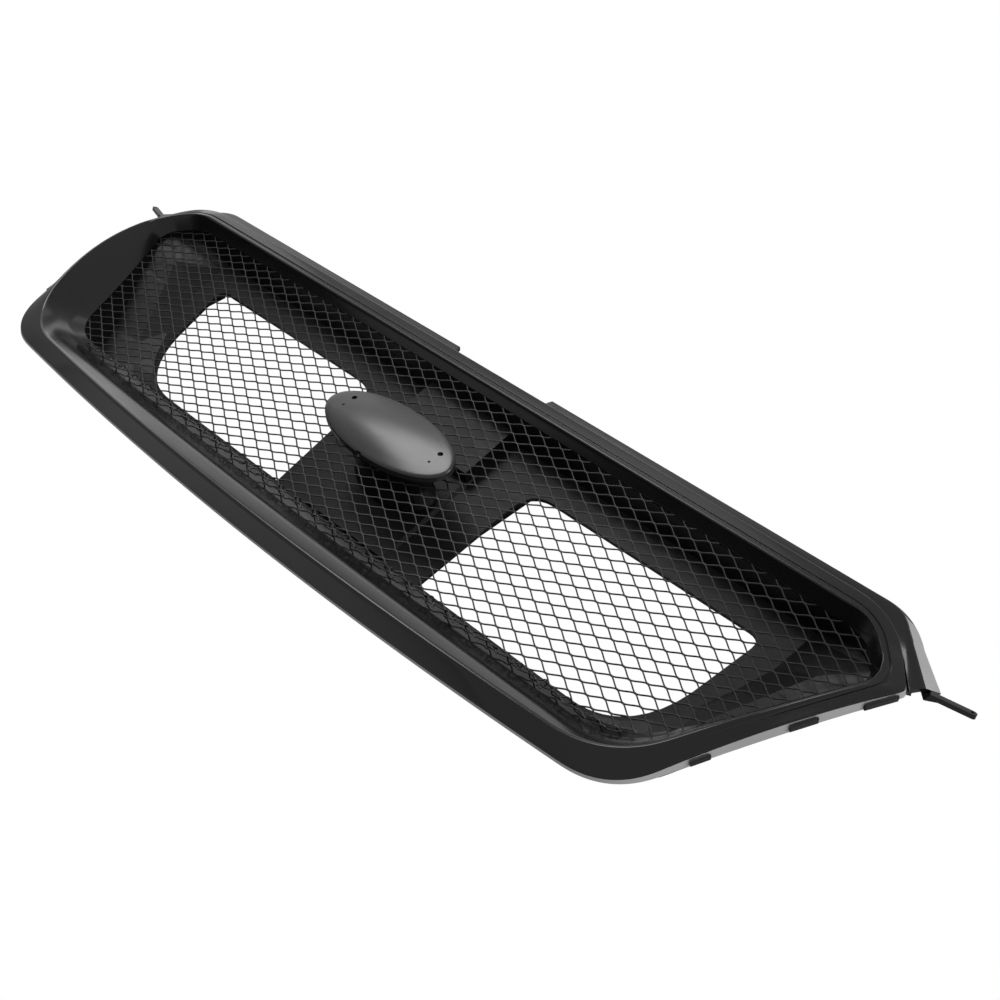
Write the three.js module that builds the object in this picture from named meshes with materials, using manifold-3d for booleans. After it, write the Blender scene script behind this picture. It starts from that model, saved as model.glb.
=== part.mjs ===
// Front grille for a passenger car, lying on its back: +X to the car's left, +Y up the car, +Z out of
// the front face. Millimetres. The origin is the bottom centre of the bounding box.
import * as THREE from 'three';
import { mergeVertices } from 'three/addons/utils/BufferGeometryUtils.js';
import Module from 'manifold-3d';

const wasm = await Module();
wasm.setup();

// ---- driving dimensions -------------------------------------------------------------------------
const WALL = 2.5;            // moulded wall of the surround
const TRAY_WALL = 3;         // moulded wall of the backing tray
const GAP = 0.4;             // clearance kept between separate pieces
const MESH_HALF = 0.6;       // half the thickness of the mesh panel
const MESH_TUCK = 4;         // how far the mesh runs under the foot of the surround
const CROWN_X = -0.0000485;  // crown of the mesh along the car's width
const CROWN_Y = 0.00055;     // dish of the mesh up the car
const REST_Z = -58;          // plane of the tray's rear ribs, on which the grille rests
const MID_Y = 17.5;          // height of the badge's centre
const BADGE_A = 66.7;        // half width of the badge plate
const BADGE_B = 29.4;        // half height of the badge plate
const BADGE_Z = 11.3;        // height of the badge's rim above the mesh
const BADGE_TILT = 0.06;     // the badge leans with the mesh
const WINDOW_CORNER = 10;    // corner radius of the tray's windows
const POST_R = 4.5;          // screw posts inside the surround
const POST_BORE = 2.0;
const SCREW_R = 1.6;
const SCREW_HEAD_R = 3.6;
const SCREW_HEAD_H = 2.4;
const PEDESTAL_FOOT = [42, 21]; // half axes of the oval pedestal where it stands on the tray
const PEDESTAL_NECK = [35, 16]; // half axes where it passes through the mesh
const PEDESTAL_SCREW_X = 22;
const PAD_HALF = 47;          // half width of the raised pad in the middle of the tray's floor
const PAD_UP = 2.5;

// height of the mesh's middle surface
const meshZ = (x, y) => CROWN_X * x * x + CROWN_Y * y * y;
// inner face of the tray's floor
const FLOOR_SLOPE = 0.215;
const floorZ = (y) => -53.4 + FLOOR_SLOPE * (y + 36.1);

// ---- solids -------------------------------------------------------------------------------------
function toSolid(geometry) {
  const g = geometry.clone();
  g.deleteAttribute('normal');
  g.deleteAttribute('uv');
  const m = mergeVertices(g, 1e-3);
  const mesh = new wasm.Mesh({
    numProp: 3,
    vertProperties: new Float32Array(m.attributes.position.array),
    triVerts: new Uint32Array(m.index.array),
  });
  return new wasm.Manifold(mesh);
}

function toGeometry(solid) {
  const mesh = solid.getMesh();
  const g = new THREE.BufferGeometry();
  const points = new Float32Array(mesh.numVert * 3);
  for (let i = 0; i < mesh.numVert; i++) {
    for (let k = 0; k < 3; k++) points[i * 3 + k] = mesh.vertProperties[i * mesh.numProp + k];
  }
  g.setAttribute('position', new THREE.BufferAttribute(points, 3));
  g.setIndex(new THREE.BufferAttribute(new Uint32Array(mesh.triVerts), 1));
  g.computeVertexNormals();
  return g;
}

// signed volume of a closed triangle list
function volume(points, tris) {
  let v = 0;
  for (const [a, b, c] of tris) {
    const [p, q, r] = [points[a], points[b], points[c]];
    v += p[0] * (q[1] * r[2] - q[2] * r[1]) - p[1] * (q[0] * r[2] - q[2] * r[0])
      + p[2] * (q[0] * r[1] - q[1] * r[0]);
  }
  return v / 6;
}

function fromTriangles(points, tris) {
  const flip = volume(points, tris) < 0;
  const g = new THREE.BufferGeometry();
  g.setAttribute('position', new THREE.Float32BufferAttribute(points.flat(), 3));
  g.setIndex(tris.flatMap(([a, b, c]) => (flip ? [a, c, b] : [a, b, c])));
  g.computeVertexNormals();
  return g;
}

// triangles that close a nearly flat ring, wound the way the ring runs
function capTriangles(ring) {
  const normal = new THREE.Vector3();
  ring.forEach((p, i) => {
    const q = ring[(i + 1) % ring.length];
    normal.x += (p[1] - q[1]) * (p[2] + q[2]);
    normal.y += (p[2] - q[2]) * (p[0] + q[0]);
    normal.z += (p[0] - q[0]) * (p[1] + q[1]);
  });
  normal.normalize();
  const other = Math.abs(normal.z) < 0.9 ? new THREE.Vector3(0, 0, 1) : new THREE.Vector3(1, 0, 0);
  const u = new THREE.Vector3().crossVectors(other, normal).normalize();
  const v = new THREE.Vector3().crossVectors(normal, u);
  const flat = ring.map((p) => {
    const at = new THREE.Vector3(...p);
    return new THREE.Vector2(u.dot(at), v.dot(at));
  });
  return THREE.ShapeUtils.triangulateShape(flat, []);
}

// closed skin through rings of equal length; the last ring joins the first again when `loop` is set,
// otherwise both ends are capped
function skin(rings, loop) {
  const n = rings[0].length;
  const points = rings.flat();
  const tris = [];
  const bands = loop ? rings.length : rings.length - 1;
  for (let r = 0; r < bands; r++) {
    const s = (r + 1) % rings.length;
    for (let i = 0; i < n; i++) {
      const j = (i + 1) % n;
      tris.push([r * n + i, r * n + j, s * n + j]);
      tris.push([r * n + i, s * n + j, s * n + i]);
    }
  }
  if (!loop) {
    const last = (rings.length - 1) * n;
    for (const tri of capTriangles(rings[0])) tris.push([...tri].reverse());
    for (const tri of capTriangles(rings[rings.length - 1])) tris.push(tri.map((k) => k + last));
  }
  return fromTriangles(points, tris);
}

// a large box whose lower face lies on the plane z = z0 + a x + b y, lifted by `lift` along the
// plane's normal: the half-space above that plane
function above(z0, a, b, lift = 0) {
  const size = 3000;
  const g = new THREE.BoxGeometry(size, size, size);
  g.translate(0, 0, size / 2 + lift);
  const normal = new THREE.Vector3(-a, -b, 1).normalize();
  const turn = new THREE.Quaternion().setFromUnitVectors(new THREE.Vector3(0, 0, 1), normal);
  g.applyQuaternion(turn);
  g.translate(0, 0, z0);
  return toSolid(g);
}

// the plane through three points as [z0, a, b]
function planeThrough(p, q, r) {
  const u = new THREE.Vector3(q[0] - p[0], q[1] - p[1], q[2] - p[2]);
  const v = new THREE.Vector3(r[0] - p[0], r[1] - p[1], r[2] - p[2]);
  const n = u.cross(v);
  const a = -n.x / n.z;
  const b = -n.y / n.z;
  return [p[2] - a * p[0] - b * p[1], a, b];
}

function box(x0, x1, y0, y1, z0, z1) {
  const g = new THREE.BoxGeometry(x1 - x0, y1 - y0, z1 - z0);
  g.translate((x0 + x1) / 2, (y0 + y1) / 2, (z0 + z1) / 2);
  return g;
}

function cylinder(x, y, z0, z1, r, sides = 20) {
  const g = new THREE.CylinderGeometry(r, r, z1 - z0, sides);
  g.rotateX(Math.PI / 2);
  g.translate(x, y, (z0 + z1) / 2);
  return g;
}

// ---- outline paths ------------------------------------------------------------------------------
const lerp = (p, q, t) => p.map((v, k) => v + (q[k] - v) * t);
const dist = (p, q) => Math.hypot(p[0] - q[0], p[1] - q[1]);

// Right half of a closed outline from the top centre to the bottom centre. The rail gives the virtual
// corners: top centre, upper corner t, side corner s, lower corner b, bottom centre. `round` gives
// the tangent length at each corner and `bow` the offset of the lower slant at its middle.
function halfOutline(rail, count = [14, 8, 4, 5, 10, 12, 14]) {
  const { tc, t, s, b, bc, round, bow = [0, 0, 0] } = rail;
  const top = (u) => [t[0] * u, tc[1] + (t[1] - tc[1]) * u * u, tc[2] + (t[2] - tc[2]) * u * u];
  const slant = (u) => lerp(t, s, u);
  const side = (u) => lerp(s, b, u).map((v, k) => v + 4 * u * (1 - u) * bow[k]);
  const low = (u) => [b[0] * (1 - u), bc[1] + (b[1] - bc[1]) * (1 - u) ** 2,
    bc[2] + (b[2] - bc[2]) * (1 - u) ** 2];
  const cut = [
    1 - round[0] / t[0], round[0] / dist(t, s), 1 - round[1] / dist(t, s),
    round[1] / dist(s, b), 1 - round[2] / dist(s, b), round[2] / b[0],
  ];
  const run = (edge, u0, u1, n) => Array.from({ length: n }, (_, i) => edge(u0 + (u1 - u0) * (i / n)));
  const corner = (p, v, q, n) => Array.from({ length: n }, (_, i) => {
    const u = i / n;
    return p.map((c, k) => c * (1 - u) ** 2 + 2 * v[k] * u * (1 - u) + q[k] * u * u);
  });
  return [
    ...run(top, 0, cut[0], count[0]),
    ...corner(top(cut[0]), t, slant(cut[1]), count[1]),
    ...run(slant, cut[1], cut[2], count[2]),
    ...corner(slant(cut[2]), s, side(cut[3]), count[3]),
    ...run(side, cut[3], cut[4], count[4]),
    ...corner(side(cut[4]), b, low(cut[5]), count[5]),
    ...run(low, cut[5], 1, count[6]),
    low(1),
  ];
}

// the whole outline, clockwise from the top centre
function outline(rail, count) {
  const half = halfOutline(rail, count);
  const mirror = half.slice(1, -1).reverse().map(([x, y, z]) => [-x, y, z]);
  return [...half, ...mirror];
}

// an outline moved sideways by d, outwards when d is positive
function offset(ring, d) {
  const n = ring.length;
  return ring.map((p, i) => {
    const a = ring[(i + n - 1) % n];
    const b = ring[(i + 1) % n];
    const tx = b[0] - a[0];
    const ty = b[1] - a[1];
    const len = Math.hypot(tx, ty);
    return [p[0] - (ty / len) * d, p[1] + (tx / len) * d, p[2]];
  });
}

const lift = (ring, dz) => ring.map(([x, y, z]) => [x, y, z + dz]);
const onMesh = (ring, dz) => ring.map(([x, y]) => [x, y, meshZ(x, y) + dz]);

// rails of the surround's visible surface, from the foot of the inner wall to the outer rim; `under` is
// the inside of the moulding below the lip
const RAILS = {
  foot: { tc: [0, 100, 6], t: [366, 100, 0], s: [392, 76, -3], b: [312, -66, -1], bc: [0, -71, 4],
    round: [14, 10, 30] },
  shoulder: { tc: [0, 103.7, 13], t: [367.6, 103.7, 12.2], s: [396.5, 75.6, 4.5],
    b: [317, -76, 4], bc: [0, -86, 12], round: [15, 11, 33], bow: [1, -0.6, 1] },
  waist: { tc: [0, 104.1, 14.3], t: [367.9, 104.3, 13.7], s: [398.6, 75.3, 7.4],
    b: [321.5, -87, 13], bc: [0, -102.5, 28.6], round: [16, 12, 37], bow: [4, -2.2, 9] },
  lip: { tc: [0, 104.8, 15], t: [368, 105, 14.5], s: [400, 75, 9],
    b: [325, -95, 18], bc: [0, -118.6, 35.6], round: [18, 14, 40], bow: [6.1, -3.4, 12.5] },
  crest: { tc: [0, 106.6, 14.8], t: [369, 106.7, 14.3], s: [402, 75.6, 8.3],
    b: [327, -97, 17.4], bc: [0, -120.4, 34.2], round: [19.5, 12, 40], bow: [6.1, -3.4, 11.5] },
  ridge: { tc: [0, 119.8, 12.6], t: [375.8, 118.5, 12.6], s: [411.4, 79, 2.4],
    b: [338.8, -107.6, 14.4], bc: [0, -122.3, 13.6], round: [29.5, 3.5, 34], bow: [0, 0, 8] },
  brow: { tc: [0, 120.5, 11.9], t: [376.3, 119.2, 11.9], s: [412, 79, 1.6],
    b: [339.4, -108.2, 13.6], bc: [0, -122.5, 12.2], round: [30, 3, 34], bow: [0, 0, 8] },
  rim: { tc: [0, 121.3, -4], t: [377.3, 120, -4], s: [413, 79, -3.6],
    b: [339.9, -108.8, 11], bc: [0, -122.7, 9.2], round: [30, 3, 34], bow: [0, 0, 4.2] },
  under: { tc: [0, 109, 11.3], t: [370.5, 108.6, 10.8], s: [402.3, 75.6, 4.6],
    b: [325.5, -95.5, 14], bc: [0, -117.2, 30.4], round: [20, 12, 39], bow: [5.6, -3.1, 11.3] },
};

// screw posts: place and lower end
const POSTS = [
  ...[-262, -92, 92, 262].map((x) => ({ x, y: 112.2, low: -3.6 })),
  ...[-250, -110, 110, 250].map((x) => ({ x, y: -91.5, low: -1.6 })),
];

// snap clips along each lower slant: place along it, length, and the hook's reach above the rim
const CLIPS = [
  { along: 0.1, length: 24, low: 0.4, high: 5.4 },
  { along: 0.37, length: 19, low: 1.8, high: 7 },
  { along: 0.71, length: 13, low: 1.2, high: 5.8 },
];

// frame of a clip: x out of the wall, y back along the rim, z up from the rim's outer edge
function clipFrame(side, along) {
  const { s, b, bow } = RAILS.rim;
  const at = lerp(s, b, along).map((v, k) => v + 4 * along * (1 - along) * bow[k]);
  const run = new THREE.Vector3(...b.map((v, k) => v - s[k] + 4 * (1 - 2 * along) * bow[k]));
  const back = run.normalize().negate();
  const out = new THREE.Vector3(back.y, -back.x, 0).normalize();
  const up = new THREE.Vector3().crossVectors(out, back);
  const mirror = (v, sign) => new THREE.Vector3(side * sign * v.x, sign * v.y, sign * v.z);
  return new THREE.Matrix4().makeBasis(mirror(out, side), mirror(back, 1), mirror(up, 1))
    .setPosition(side * at[0], at[1], at[2]);
}

// ---- surround -----------------------------------------------------------------------------------
function surroundShell() {
  const rail = (name) => outline(RAILS[name]);
  const foot = onMesh(rail('foot'), MESH_HALF + GAP);
  const outside = ['shoulder', 'waist', 'lip', 'crest', 'ridge', 'brow', 'rim'].map(rail);
  const [shoulder, waist, , , ridge, brow, rim] = outside;
  const inside = [
    offset(rim, -WALL),
    lift(offset(brow, -WALL), -1.5),
    lift(offset(ridge, -WALL * 1.2), -WALL),
    rail('under'),
    lift(offset(waist, WALL * 0.75), -WALL * 0.75),
    lift(offset(shoulder, WALL), -1),
    onMesh(offset(foot, WALL), MESH_HALF + GAP),
  ];
  return skin([foot, ...outside, ...inside], true);
}

// everything under the visible surface, down to a level below the posts
function surroundFilled() {
  const rings = ['foot', 'shoulder', 'waist', 'lip', 'crest', 'ridge', 'brow', 'rim']
    .map((name) => outline(RAILS[name]));
  const level = (ring) => ring.map(([x, y]) => [x, y, -12]);
  return skin([level(rings[0]), ...rings, level(rings[7])], true);
}

function surround() {
  let solid = toSolid(surroundShell());
  const room = toSolid(surroundFilled()).translate([0, 0, -1]);
  for (const { x, y, low } of POSTS) {
    solid = solid.add(toSolid(cylinder(x, y, low, 40, POST_R)).intersect(room));
    solid = solid.subtract(toSolid(cylinder(x, y, low - 1, low + 10, POST_BORE, 16)));
  }
  // slots through the outer wall for the snap clips
  for (const side of [-1, 1]) {
    for (const { along, length, low, high } of CLIPS) {
      const [x0, x1] = side > 0 ? [-3.9, 3] : [-3, 3.9];
      const half = length / 2 + 0.4;
      const slot = box(x0, x1, -half, half, low + 0.7, high - 1.4);
      slot.applyMatrix4(clipFrame(side, along));
      solid = solid.subtract(toSolid(slot));
    }
  }
  return toGeometry(solid);
}

// ---- mesh panel ---------------------------------------------------------------------------------
// closed sheet that follows the crown of the mesh between two heights above its middle surface
function crownedSlab(below, over) {
  const [nx, ny] = [24, 8];
  const [hx, hy] = [440, 140];
  const points = [];
  for (const dz of [below, over]) {
    for (let j = 0; j <= ny; j++) {
      for (let i = 0; i <= nx; i++) {
        const x = -hx + (2 * hx * i) / nx;
        const y = -hy + (2 * hy * j) / ny;
        points.push([x, y, meshZ(x, y) + dz]);
      }
    }
  }
  const at = (i, j, k) => k * (nx + 1) * (ny + 1) + j * (nx + 1) + i;
  const tris = [];
  const quad = (a, b, c, d) => tris.push([a, b, c], [a, c, d]);
  for (let j = 0; j < ny; j++) {
    for (let i = 0; i < nx; i++) {
      quad(at(i, j, 0), at(i, j + 1, 0), at(i + 1, j + 1, 0), at(i + 1, j, 0));
      quad(at(i, j, 1), at(i + 1, j, 1), at(i + 1, j + 1, 1), at(i, j + 1, 1));
    }
  }
  for (let i = 0; i < nx; i++) {
    quad(at(i, 0, 0), at(i + 1, 0, 0), at(i + 1, 0, 1), at(i, 0, 1));
    quad(at(i + 1, ny, 0), at(i, ny, 0), at(i, ny, 1), at(i + 1, ny, 1));
  }
  for (let j = 0; j < ny; j++) {
    quad(at(0, j + 1, 0), at(0, j, 0), at(0, j, 1), at(0, j + 1, 1));
    quad(at(nx, j, 0), at(nx, j + 1, 0), at(nx, j + 1, 1), at(nx, j, 1));
  }
  return fromTriangles(points, tris);
}

// straight-sided prism over an outline
function prism(ring, z0, z1) {
  const shape = new THREE.Shape(ring.map(([x, y]) => new THREE.Vector2(x, y)));
  const g = new THREE.ExtrudeGeometry(shape, { depth: z1 - z0, bevelEnabled: false, steps: 1 });
  g.translate(0, 0, z0);
  return g;
}

// oval round the badge's centre
const oval = (a, b, sides) => Array.from({ length: sides }, (_, i) => {
  const w = (2 * Math.PI * i) / sides;
  return [a * Math.cos(w), MID_Y + b * Math.sin(w)];
});

const COARSE = [1, 5, 2, 3, 8, 8, 10];
const footprint = (grow) => offset(outline(RAILS.foot, COARSE), grow);

function meshPanel() {
  const solid = toSolid(prism(footprint(MESH_TUCK), -40, 40))
    .intersect(toSolid(crownedSlab(-MESH_HALF, MESH_HALF)))
    .subtract(toSolid(prism(oval(PEDESTAL_NECK[0] + 1.5, PEDESTAL_NECK[1] + 1.5, 36), -40, 40)));
  return toGeometry(solid);
}

// ---- backing tray -------------------------------------------------------------------------------
const ledgeZ = (y) => -36.7 + 0.359 * y;
const LOWER_WALL = planeThrough([0, -37, -53.4], [100, -37, -53.4], [0, -75, 3]);

// sloped end of the tray: foot of the slope, top of the slope, and a point beyond the tray, towards
// which the ledge outside the slope rises
const END_STATIONS = [
  [[333, 125], [414, 118], [480, 125, 20]],
  [[331, 94], [389, 88], [480, 94, 15]],
  [[328, 64], [359, 63], [480, 62, 11]],
  [[319, 38], [345, 41], [480, 34, 10]],
  [[308, 14], [333, 21], [480, 0, 14]],
  [[291, -12], [312, -13], [480, -60, 2]],
  [[275, -26], [297, -30], [420, -140, -20]],
  [[257, -34], [279, -44], [330, -140, -30]],
  [[240, -38], [254, -56], [280, -140, -40]],
  [[228, -40], [234, -60], [240, -140, -50]],
];

function endBlock(side) {
  const rings = END_STATIONS.map(([foot, top, far]) => [
    [foot[0], foot[1], -95],
    [foot[0], foot[1], floorZ(foot[1])],
    [top[0], top[1], ledgeZ(top[1])],
    far,
    [far[0], far[1], -95],
  ].map(([x, y, z]) => [side * x, y, z]));
  return toSolid(skin(rings, false));
}

function windowShape() {
  const r = WINDOW_CORNER;
  const s = new THREE.Shape();
  s.moveTo(84, -35);
  s.lineTo(89.5, 50);
  s.bezierCurveTo(91, 69, 97, 76, 116, 76);
  s.lineTo(306 - r, 76);
  s.quadraticCurveTo(307, 76, 306, 76 - r);
  s.lineTo(299, 28);
  s.quadraticCurveTo(294, -8, 272, -24);
  s.quadraticCurveTo(258, -34, 238, -34.5);
  return s;
}

function windowCut(side) {
  const ring = windowShape().getPoints(6).map((p) => [p.x, p.y]);
  const g = prism(ring, -90, -14);
  return side > 0 ? toSolid(g) : toSolid(g).mirror([1, 0, 0]);
}

// foot rail under the floor: a web with a flat foot on the rest plane
function rearRib(x, y0, y1) {
  const web = box(x - 1.5, x + 1.5, y0, y1, REST_Z + 1, -4);
  const foot = box(x - 6, x + 6, y0, y1, REST_Z, REST_Z + 3);
  return toSolid(web).add(toSolid(foot));
}

function tray() {
  const [z0, a, b] = LOWER_WALL;
  const blocks = [-1, 1].map(endBlock);
  const cavity = (grow) => {
    let solid = toSolid(prism(footprint(grow), -80, 30))
      .intersect(above(-53.4 + FLOOR_SLOPE * 36.1, 0, FLOOR_SLOPE, -grow))
      .intersect(above(z0, a, b, -grow));
    for (const [i, side] of [-1, 1].entries()) {
      const shift = [side * grow * 0.85, -grow * 0.35, -grow];
      solid = solid.subtract(blocks[i].translate(shift));
    }
    return solid;
  };
  // raised block behind the badge, hollow from the rear
  const block = (inset, top) => toSolid(box(-46 + inset, 46 - inset, 50 + inset, 130, -80, 0))
    .subtract(above(-53.4 + FLOOR_SLOPE * 36.1 + top, 0, FLOOR_SLOPE));
  // low pad down the middle of the floor, with chamfered sides
  const pad = (up) => {
    const [top, foot] = [PAD_HALF - PAD_UP, PAD_HALF + 8];
    const side = [[-foot, -8], [foot, -8], [top, PAD_UP], [-top, PAD_UP]];
    const ring = (y) => side.map(([x, z]) => [x, y, floorZ(y) + z + up]);
    return toSolid(skin([ring(-36), ring(60)], false));
  };
  const inside = cavity(0).subtract(block(0, 12)).subtract(pad(0));
  const outside = cavity(TRAY_WALL).subtract(block(TRAY_WALL, 12 - TRAY_WALL))
    .subtract(pad(-TRAY_WALL));
  let solid = outside.subtract(inside);

  // rear ribs reach down to the rest plane and stop inside the floor
  let ribs = [[-340, 62, 92], [-70, -36, 94], [70, -36, 94], [340, 62, 92]]
    .map((r) => rearRib(...r))
    .reduce((p, q) => p.add(q));
  ribs = ribs.subtract(cavity(TRAY_WALL * 0.5));
  solid = solid.add(ribs);

  // low stiffening ribs on the floor either side of the badge
  for (const side of [-1, 1]) {
    const rib = box(-1, 1, -32, 28, -60, -10);
    rib.rotateZ(-side * 0.12);
    rib.translate(side * 61.5, 0, 0);
    const low = toSolid(rib)
      .intersect(above(-53.4 + FLOOR_SLOPE * 36.1 - 1, 0, FLOOR_SLOPE))
      .subtract(above(-53.4 + FLOOR_SLOPE * 36.1 + 2, 0, FLOOR_SLOPE));
    solid = solid.add(low).subtract(windowCut(side));
  }

  // tabs that take the screws
  for (const { x, y, low } of POSTS) {
    const top = low - GAP;
    const [y0, y1] = y > 0 ? [101.5, y + 4.8] : [y - 4.8, -66];
    solid = solid.add(toSolid(box(x - 8, x + 8, y0, y1, top - TRAY_WALL, top)));
  }
  solid = solid.subtract(inside);
  for (const { x, y, low } of POSTS) {
    solid = solid.subtract(toSolid(cylinder(x, y, low - 6, low + 1, SCREW_R + 0.6, 16)));
  }
  // holes for the two screws of the badge's pedestal
  for (const side of [-1, 1]) {
    solid = solid.subtract(toSolid(cylinder(side * PEDESTAL_SCREW_X, MID_Y, -60, -30, SCREW_R + 0.6, 16)));
  }
  // the rim follows the underside of the mesh
  solid = solid.subtract(toSolid(crownedSlab(-MESH_HALF - GAP, 80)));
  return toGeometry(solid);
}

// ---- badge plate and its pedestal ---------------------------------------------------------------
const badgeRim = (y) => BADGE_Z + BADGE_TILT * (y - MID_Y);

function badgePlate() {
  const sides = 64;
  // inset from the plate's outline, height above the rim
  const profile = [[0.99, 3.6], [0.8, 3.45], [0.6, 3.0], [0.4, 2.25], [0.2, 1.25], [0.08, 0.6],
    [0.03, 0.15], [0.008, -0.5], [0, -1.3], [0, -5]];
  const rings = profile.map(([inset, up]) => Array.from({ length: sides }, (_, i) => {
    const w = (2 * Math.PI * i) / sides;
    const y = MID_Y + BADGE_B * (1 - inset) * Math.sin(w);
    return [BADGE_A * (1 - inset) * Math.cos(w), y, badgeRim(y) + up];
  }));
  let solid = toSolid(skin(rings, false));
  const cut = (g) => { solid = solid.subtract(toSolid(g)); };
  for (const side of [-1, 1]) {
    cut(cylinder(side * 49.2, 25.7, 0, 30, 2.2, 20));
    cut(cylinder(side * 49.2, 14.7, 0, 30, 1.0, 16));
    const edge = MID_Y + side * BADGE_B;
    cut(box(-2.5, 2.5, edge - 1.2, edge + 1.2, 0, 30));
  }
  return toGeometry(solid);
}

function pedestal() {
  const under = BADGE_Z - 5 - GAP;
  const base = floorZ(MID_Y) + PAD_UP + GAP;
  const ring = ([p, q], z, tilt) => oval(p, q, 40).map(([x, y]) => [x, y, z + tilt * (y - MID_Y)]);
  const rings = [
    ring(PEDESTAL_FOOT, base, FLOOR_SLOPE),
    ring(PEDESTAL_FOOT, base + 3, FLOOR_SLOPE),
    ring(PEDESTAL_NECK, base + 12, 0),
    ring(PEDESTAL_NECK, under, BADGE_TILT),
  ];
  let solid = toSolid(skin(rings, false));
  for (const side of [-1, 1]) {
    const hole = cylinder(side * PEDESTAL_SCREW_X, MID_Y, -60, base + 8, POST_BORE, 16);
    solid = solid.subtract(toSolid(hole));
  }
  return toGeometry(solid);
}

// pan-head screw standing on its head, shank up, origin under the head's bearing face
function screw(length) {
  const profile = [[0, -SCREW_HEAD_H], [SCREW_HEAD_R * 0.7, -SCREW_HEAD_H],
    [SCREW_HEAD_R, -SCREW_HEAD_H * 0.45], [SCREW_HEAD_R, 0], [SCREW_R, 0], [SCREW_R, length - 1.2],
    [SCREW_R * 0.3, length], [0, length]].map(([r, z]) => new THREE.Vector2(r, z));
  const g = new THREE.LatheGeometry(profile, 16);
  g.rotateX(Math.PI / 2);
  return toGeometry(toSolid(g));
}

// ---- upper flanges ------------------------------------------------------------------------------
// start, end of the straight, corner control, start of the slant, end
function flangePath([p0, p1, c, p2, p3], n = [6, 8, 6]) {
  const out = [];
  for (let i = 0; i < n[0]; i++) out.push(lerp(p0, p1, i / n[0]));
  for (let i = 0; i < n[1]; i++) {
    const u = i / n[1];
    out.push(p1.map((v, k) => v * (1 - u) ** 2 + 2 * c[k] * u * (1 - u) + p2[k] * u * u));
  }
  for (let i = 0; i <= n[2]; i++) out.push(lerp(p2, p3, i / n[2]));
  return out;
}

const FLANGE_EDGE = [[53, 136.8, -0.4], [358, 136.3, -0.4], [371, 136.3, -0.4],
  [381, 126, -0.4], [418, 90, -0.6]];
const FLANGE_SKIRT = [[53, 137.6, -1.6], [360, 137.2, -1.6], [381, 137.5, -2.4],
  [396.8, 124, -10.8], [423, 102.8, -12.6]];
const underEdge = ([x, y, z]) => [x - 1.6, y - 1.6, z - 3.2];
const underSkirt = ([x, y, z]) => [x - 1.2, y - 1.2, z - 1.7];

function upperFlange(side) {
  const inner = flangePath([[48, 121.9, -0.4], [347, 120.8, -0.4], [378.1, 120.5, -0.4],
    [397.6, 98, -0.5], [411.6, 82.2, -0.6]]);
  const tongue = flangePath([[48, 118.1, -4.5], [345, 117, -4.5], [375.6, 116.8, -4.5],
    [394.8, 95.6, -4.5], [407.6, 81.2, -4.6]]);
  const edge = flangePath(FLANGE_EDGE);
  const skirt = flangePath(FLANGE_SKIRT);
  const rings = inner.map((p, i) => {
    const q = edge[i];
    const g = skirt[i];
    const t = tongue[i];
    return [p, q, g, underSkirt(g), underEdge(q),
      [p[0] + 1.4, p[1] + 1.4, p[2] - 3.2], [p[0] + 1.4, p[1] + 1.4, -6.6], [t[0], t[1], -6.6],
      t, [p[0], p[1], t[2]]].map(([x, y, z]) => [side * x, y, z]);
  });
  return toGeometry(toSolid(skin(rings, false)));
}

// ---- ears and side clips ------------------------------------------------------------------------
const EAR_LENGTH = 29.5;
const EAR_HALF = 2.6;        // half width of the bar
const EAR_THICK = 1.6;       // half thickness of the bar
const EAR_ROOT = [421, 91.6, -5.6];

// the bar's own axes: x along it, z out of its flat face; side -1 gives the mirrored axes
function earFrame(side) {
  const along = new THREE.Vector3(side * 27.6, 8.9, -5.3).normalize();
  const across = new THREE.Vector3(side * 2, 10, -5);
  const up = new THREE.Vector3().crossVectors(along, across).multiplyScalar(side).normalize();
  const y = new THREE.Vector3().crossVectors(up, along).multiplyScalar(side);
  const x = along.clone().multiplyScalar(side);
  return new THREE.Matrix4().makeBasis(x, y, up).setPosition(side * EAR_ROOT[0], EAR_ROOT[1], EAR_ROOT[2]);
}

// point behind the flange's turned-down end wall: u along the wall's last run, v down it
function wallPoint(u, v) {
  const top = underEdge(lerp(FLANGE_EDGE[3], FLANGE_EDGE[4], u));
  const low = underSkirt(lerp(FLANGE_SKIRT[3], FLANGE_SKIRT[4], u));
  return new THREE.Vector3(...lerp(top, low, v));
}

// section of the mounting plate that lies behind the wall, in the bar's own axes
function plateSection(u) {
  const run = wallPoint(u + 0.01, 0.4).sub(wallPoint(u - 0.01, 0.4));
  const down = wallPoint(u, 1).sub(wallPoint(u, 0));
  const back = new THREE.Vector3().crossVectors(down, run).normalize();
  const toBar = earFrame(1).invert();
  const corners = [[0.2, 0.6], [0.6, 0.6], [0.6, 2.4], [0.2, 2.4]];
  return corners.map(([v, depth]) => (
    wallPoint(u, v).addScaledVector(back, depth).applyMatrix4(toBar).toArray()));
}

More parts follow.
